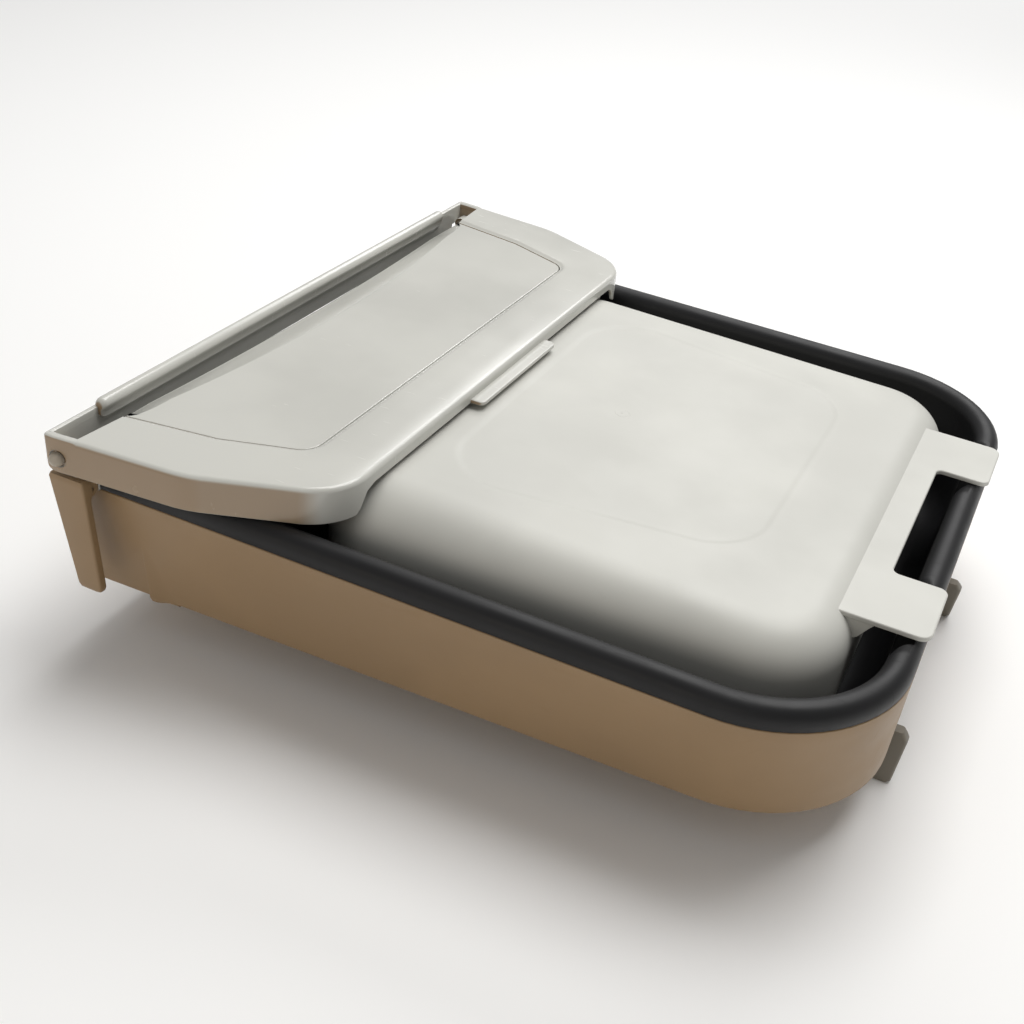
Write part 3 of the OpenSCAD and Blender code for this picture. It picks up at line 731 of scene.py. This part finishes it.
def build_panel():
    """The glossy panel, with a back edge that rolls down into the channel behind it."""
    _, inner = lid_belts()
    top, seam = LID_TOP - RECESS, 0.6 * MM
    end_y = inner[-1][1]
    round_w, round_steps, flat_steps = end_y - ROLL_FLAT_W, 10, 24
    rear = []
    for k in range(1, round_steps + 1):
        a = math.radians(90 * k / round_steps)
        rear.append((ROLL_FLAT_W + round_w * math.cos(a), math.sin(a)))
    rear += [(mix(ROLL_FLAT_W, -ROLL_FLAT_W, k / flat_steps), 1.0) for k in range(1, flat_steps)]
    rear += [(-y, reach) for y, reach in reversed(rear[:round_steps])]

    def ring(inset, z, roll_t=0.0, under=0.0):
        out = [(x - nx * inset, y - ny * inset, z) for x, y, nx, ny in inner]
        fall = roll_fall(roll_t)
        for y, reach in rear:
            bow = 1 - min(abs(y) / ROLL_FLAT_W, 1) ** 2
            back = mix(-205.8 * MM, -202.0 * MM, bow)
            crease = mix(-191.5 * MM, -180.0 * MM, bow)
            x = mix(ARM_BACK_X, mix(crease, back, roll_t) + under, reach)
            out.append((x, y * (1 - inset / end_y), z - ROLL_DROP * fall * reach))
        return out

    rings = [ring(5 * MM, UNDER_Z, 0.0, 2.2 * MM)]
    rings += [ring(2.2 * MM, UNDER_Z, t, 2.2 * MM) for t in (0.3, 0.55, 0.8, 0.93, 1.0)]
    rings.append(ring(seam + 1.0 * MM, UNDER_Z - 1.0 * MM, 1.0, 1.8 * MM))
    rings.append(ring(seam + 0.4 * MM, UNDER_Z - 1.0 * MM, 1.0, 0.4 * MM))
    rings += [ring(seam, UNDER_Z, 1.0), ring(seam, top - 0.8 * MM, 1.0)]
    steps = 20
    for k in range(steps + 1):
        t = k / steps
        rise = 0.6 * MM * math.sqrt(1 - (1 - t) ** 2)
        rings.append(ring(seam + 0.6 * MM * t, top - 0.6 * MM + rise, 1 - t))
    rings += [ring(1.4 * MM, top, 0.0, 0.4 * MM), ring(4 * MM, top, 0.0, 4 * MM)]
    panel = loft("lid_panel_plate", rings, smooth_angle=50)
    finish_piece(panel, "lid", "panel", "panel_plastic", "lid_panel")


def build_rear_rail():
    """The rolled lip on the lid's rear wall, with a fine step low on its inner face and rounded ends."""
    top, back_x = rail_high.z, lid_low.x
    r = 3.4 * MM
    cx, cz = back_x + r, top - r
    section = arc(cx, cz, r, 200, -30, 20)
    skirt = ((2.75, 2.6), (2.3, 3.2), (2.2, 6.6), (1.4, 7.0), (-0.4, 7.2), (-3.2, 6.8))
    section += [(cx + out * MM, cz - down * MM) for out, down in skirt]
    end, reach = rail_high.y, 4 * MM
    ends = [(end - reach * t, math.sqrt(max(1 - (1 - t) ** 2, 0.02))) for t in (k / 7 for k in range(8))]
    middle = [(mix(end - reach, -end + reach, k / 30), 1.0) for k in range(1, 30)]
    stations = ends + middle + [(-y, s) for y, s in reversed(ends)]
    rings = []
    for y, s in stations:
        grow = mix(0.45, 1.0, s)
        rings.append([(mix(cx, x, grow), y, mix(cz - 3 * MM, z, grow)) for x, z in section])
    rail = loft("lid_rear_lip", rings, smooth_angle=42)
    finish_piece(rail, "lid", "lid", "hood_plastic", "rear_rail")


def build_pull_tab():
    x0, x1, w = tab_low.x - 1 * MM, tab_high.x, tab_high.y
    r = 4 * MM
    outline = [(x0, -w)] + arc(x1 - r, -w + r, r, 270, 360, 8) + arc(x1 - r, w - r, r, 0, 90, 8) + [(x0, w)]
    thick = tab_high.z - tab_low.z
    tab = extrude("lid_pull_tab", [(x, y, tab_low.z) for x, y in outline], (0, 0, thick), 0.9 * MM, 4)
    finish_piece(tab, "lid", "lid", "hood_plastic", "pull_tab")


# ---------------------------------------------------------------- hinge and latches
def soften(node, name, body, material, slot, width):
    """A copy of a plain CAD node with its flats joined and its edges rounded."""
    bm = bmesh.new()
    bm.from_mesh(frame["nodes"][node].data)
    bmesh.ops.remove_doubles(bm, verts=bm.verts, dist=1e-6)
    bmesh.ops.dissolve_limit(bm, angle_limit=math.radians(2), verts=bm.verts, edges=bm.edges)
    obj = from_bmesh(name, bm)
    add_bevel(obj, width, 2, 40)
    finish_piece(obj, body, material, slot, node)


def build_pin(side, word):
    low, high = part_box("hinge_pin_" + word)
    length = high.y - low.y
    head, shank = 3.7 * MM, 2.6 * MM
    neck_h = length - head
    neck_z = neck_h - 1.6 * MM
    profile = [(shank - 0.3 * MM, 0), (shank, 0.3 * MM), (shank, neck_z), (head * 0.93, neck_z)]
    profile += [(x, neck_h + z) for x, z in arc(0, 0, head, -8, 86, 14)]
    start_y = low.y if side > 0 else high.y
    pin = lathe("hinge_pin_ball_" + word, profile, Vector((pin_x, start_y, pin_z)), (0, side, 0), 40)
    finish_piece(pin, "hood", "pin", "pin_plastic", "hinge_pin_" + word)


def build_latch(side, word):
    """A leg hanging from two cheeks on the latch pin, leaning and tapering to a rounded toe."""
    low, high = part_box("side_latch_" + word)
    y_out = side * max(abs(low.y), abs(high.y))
    thick = 5 * MM
    top_x = (low.x, -195.5 * MM)
    toe_x = (-205.5 * MM, -191 * MM)
    rows = []
    steps = 40
    top_z, toe_z = high.z, low.z
    for k in range(steps + 1):
        t = k / steps
        z = mix(top_z, toe_z, t)
        x0, x1 = mix(top_x[0], toe_x[0], t), mix(top_x[1], toe_x[1], t)
        from_top, to_toe = top_z - z, z - toe_z
        r_top, r_toe = 1.0 * MM, 4.0 * MM
        shrink_top = r_top - math.sqrt(max(r_top ** 2 - max(r_top - from_top, 0) ** 2, 0))
        shrink_toe = r_toe - math.sqrt(max(r_toe ** 2 - max(r_toe - to_toe, 0) ** 2, 0))
        shrink = max(shrink_top, shrink_toe)
        inner = thick + 2.2 * MM * (1 - smoothstep(7 * MM, 13 * MM, from_top))
        y0, y1 = y_out - side * shrink * 0.45, y_out - side * (inner - shrink * 0.45)
        rows.append(rounded_box_ring(
            (x0 + x1) / 2, (y0 + y1) / 2, max((x1 - x0) / 2 - shrink, 0.8 * MM), abs(y0 - y1) / 2,
            min(1.3 * MM, abs(y0 - y1) / 2.2), z))
    leg = loft("latch_leg_" + word, rows, smooth_angle=48)
    finish_piece(leg, "latch_" + word, "tub", "tub_plastic", "side_latch_" + word)
    for k, x in enumerate((low.x, -195.5 * MM - 4.2 * MM)):
        profile = [(0.1, 0), (3.9, 0), (4.4, 0.5), (4.4, 3.7), (3.9, 4.2), (0.1, 4.2)]
        centre = Vector((x, side * abs(latch_pivot.y), latch_pivot.z))
        points = [(r * MM, h * MM) for r, h in profile]
        cheek = lathe(f"latch_cheek_{word}_{k}", points, centre, (1, 0, 0), 36)
        finish_piece(cheek, "latch_" + word, "tub", "tub_plastic")


# ---------------------------------------------------------------- build everything
build_tub()
for foot_side, foot_word in SIDES:
    build_foot("foot_" + foot_word + "_end", foot_side, 1)
    build_foot("foot_" + foot_word + "_hinge", foot_side, -1)
build_pan()
build_dome()
build_flange()
soften("access_deck", "hood_access_deck", "hood", "hood", "hood_plastic", 0.5 * MM)
soften("spill_lip", "hood_spill_lip", "hood", "hood", "hood_plastic", 0.5 * MM)
build_lid_frame()
build_panel()
build_rear_rail()
build_pull_tab()
for pin_side, pin_word in SIDES:
    soften("hinge_post_" + pin_word, "hood_hinge_post_" + pin_word, "hood", "lid", "hood_plastic", 0.4 * MM)
    soften("latch_pin_" + pin_word, "latch_pivot_pin_" + pin_word, "hood", "pin", "pin_plastic", 0.3 * MM)
    build_pin(pin_side, pin_word)
    build_latch(pin_side, pin_word)


# ---------------------------------------------------------------- floor, light and camera
def build_stage():
    bm = bmesh.new()
    bmesh.ops.create_grid(bm, x_segments=2, y_segments=2, size=6.0)
    floor = from_bmesh("studio_floor", bm)
    mat = bpy.data.materials.new("studio_floor_white")
    mat.use_nodes = True
    shader = mat.node_tree.nodes["Principled BSDF"]
    shader.inputs["Base Color"].default_value = (0.94, 0.94, 0.935, 1)
    shader.inputs["Roughness"].default_value = 0.9
    floor.data.materials.append(mat)
    world = bpy.data.worlds.new("studio_world")
    bpy.context.scene.world = world
    world.use_nodes = True
    background = world.node_tree.nodes["Background"]
    background.inputs["Color"].default_value = (1.0, 0.995, 0.985, 1)
    background.inputs["Strength"].default_value = 0.31


def area_light(name, location, target, size, power, colour):
    data = bpy.data.lights.new(name, "AREA")
    data.shape = "RECTANGLE"
    data.size, data.size_y = size
    data.energy = power
    data.color = colour
    lamp = link(bpy.data.objects.new(name, data))
    lamp.location = location
    lamp.rotation_euler = (Vector(target) - Vector(location)).to_track_quat("-Z", "Y").to_euler()
    return lamp


def build_lights():
    area_light("key_overhead", (0.15, 0.6, 1.8), (0, 0, 0.1), (1.5, 1.1), 28, (1.0, 0.995, 0.985))
    area_light("backdrop_wash", (-0.5, 3.8, 2.8), (-0.5, 3.4, 0), (3.0, 1.6), 70, (1.0, 1.0, 1.0))
    area_light("fill_low_warm", (-0.3, -1.5, 0.5), (0, 0, 0.06), (1.6, 0.6), 2.5, (1.0, 0.90, 0.78))


def build_camera():
    data = bpy.data.cameras.new("camera")
    data.sensor_width = 36.0
    data.lens = 45.46
    data.shift_x, data.shift_y = -0.0986, 0.038
    data.clip_start, data.clip_end = 0.01, 50.0
    camera = link(bpy.data.objects.new("camera", data))
    yaw, pitch, roll = (math.radians(a) for a in (18.15, 55.86, 8.70))
    camera.matrix_world = (
        Matrix.Translation((0.2222, -0.633, 0.474)) @ Matrix.Rotation(yaw, 4, "Z")
        @ Matrix.Rotation(pitch, 4, "X") @ Matrix.Rotation(roll, 4, "Z"))
    bpy.context.scene.camera = camera


build_stage()
build_lights()
build_camera()
bpy.context.scene.view_settings.view_transform = "Standard"
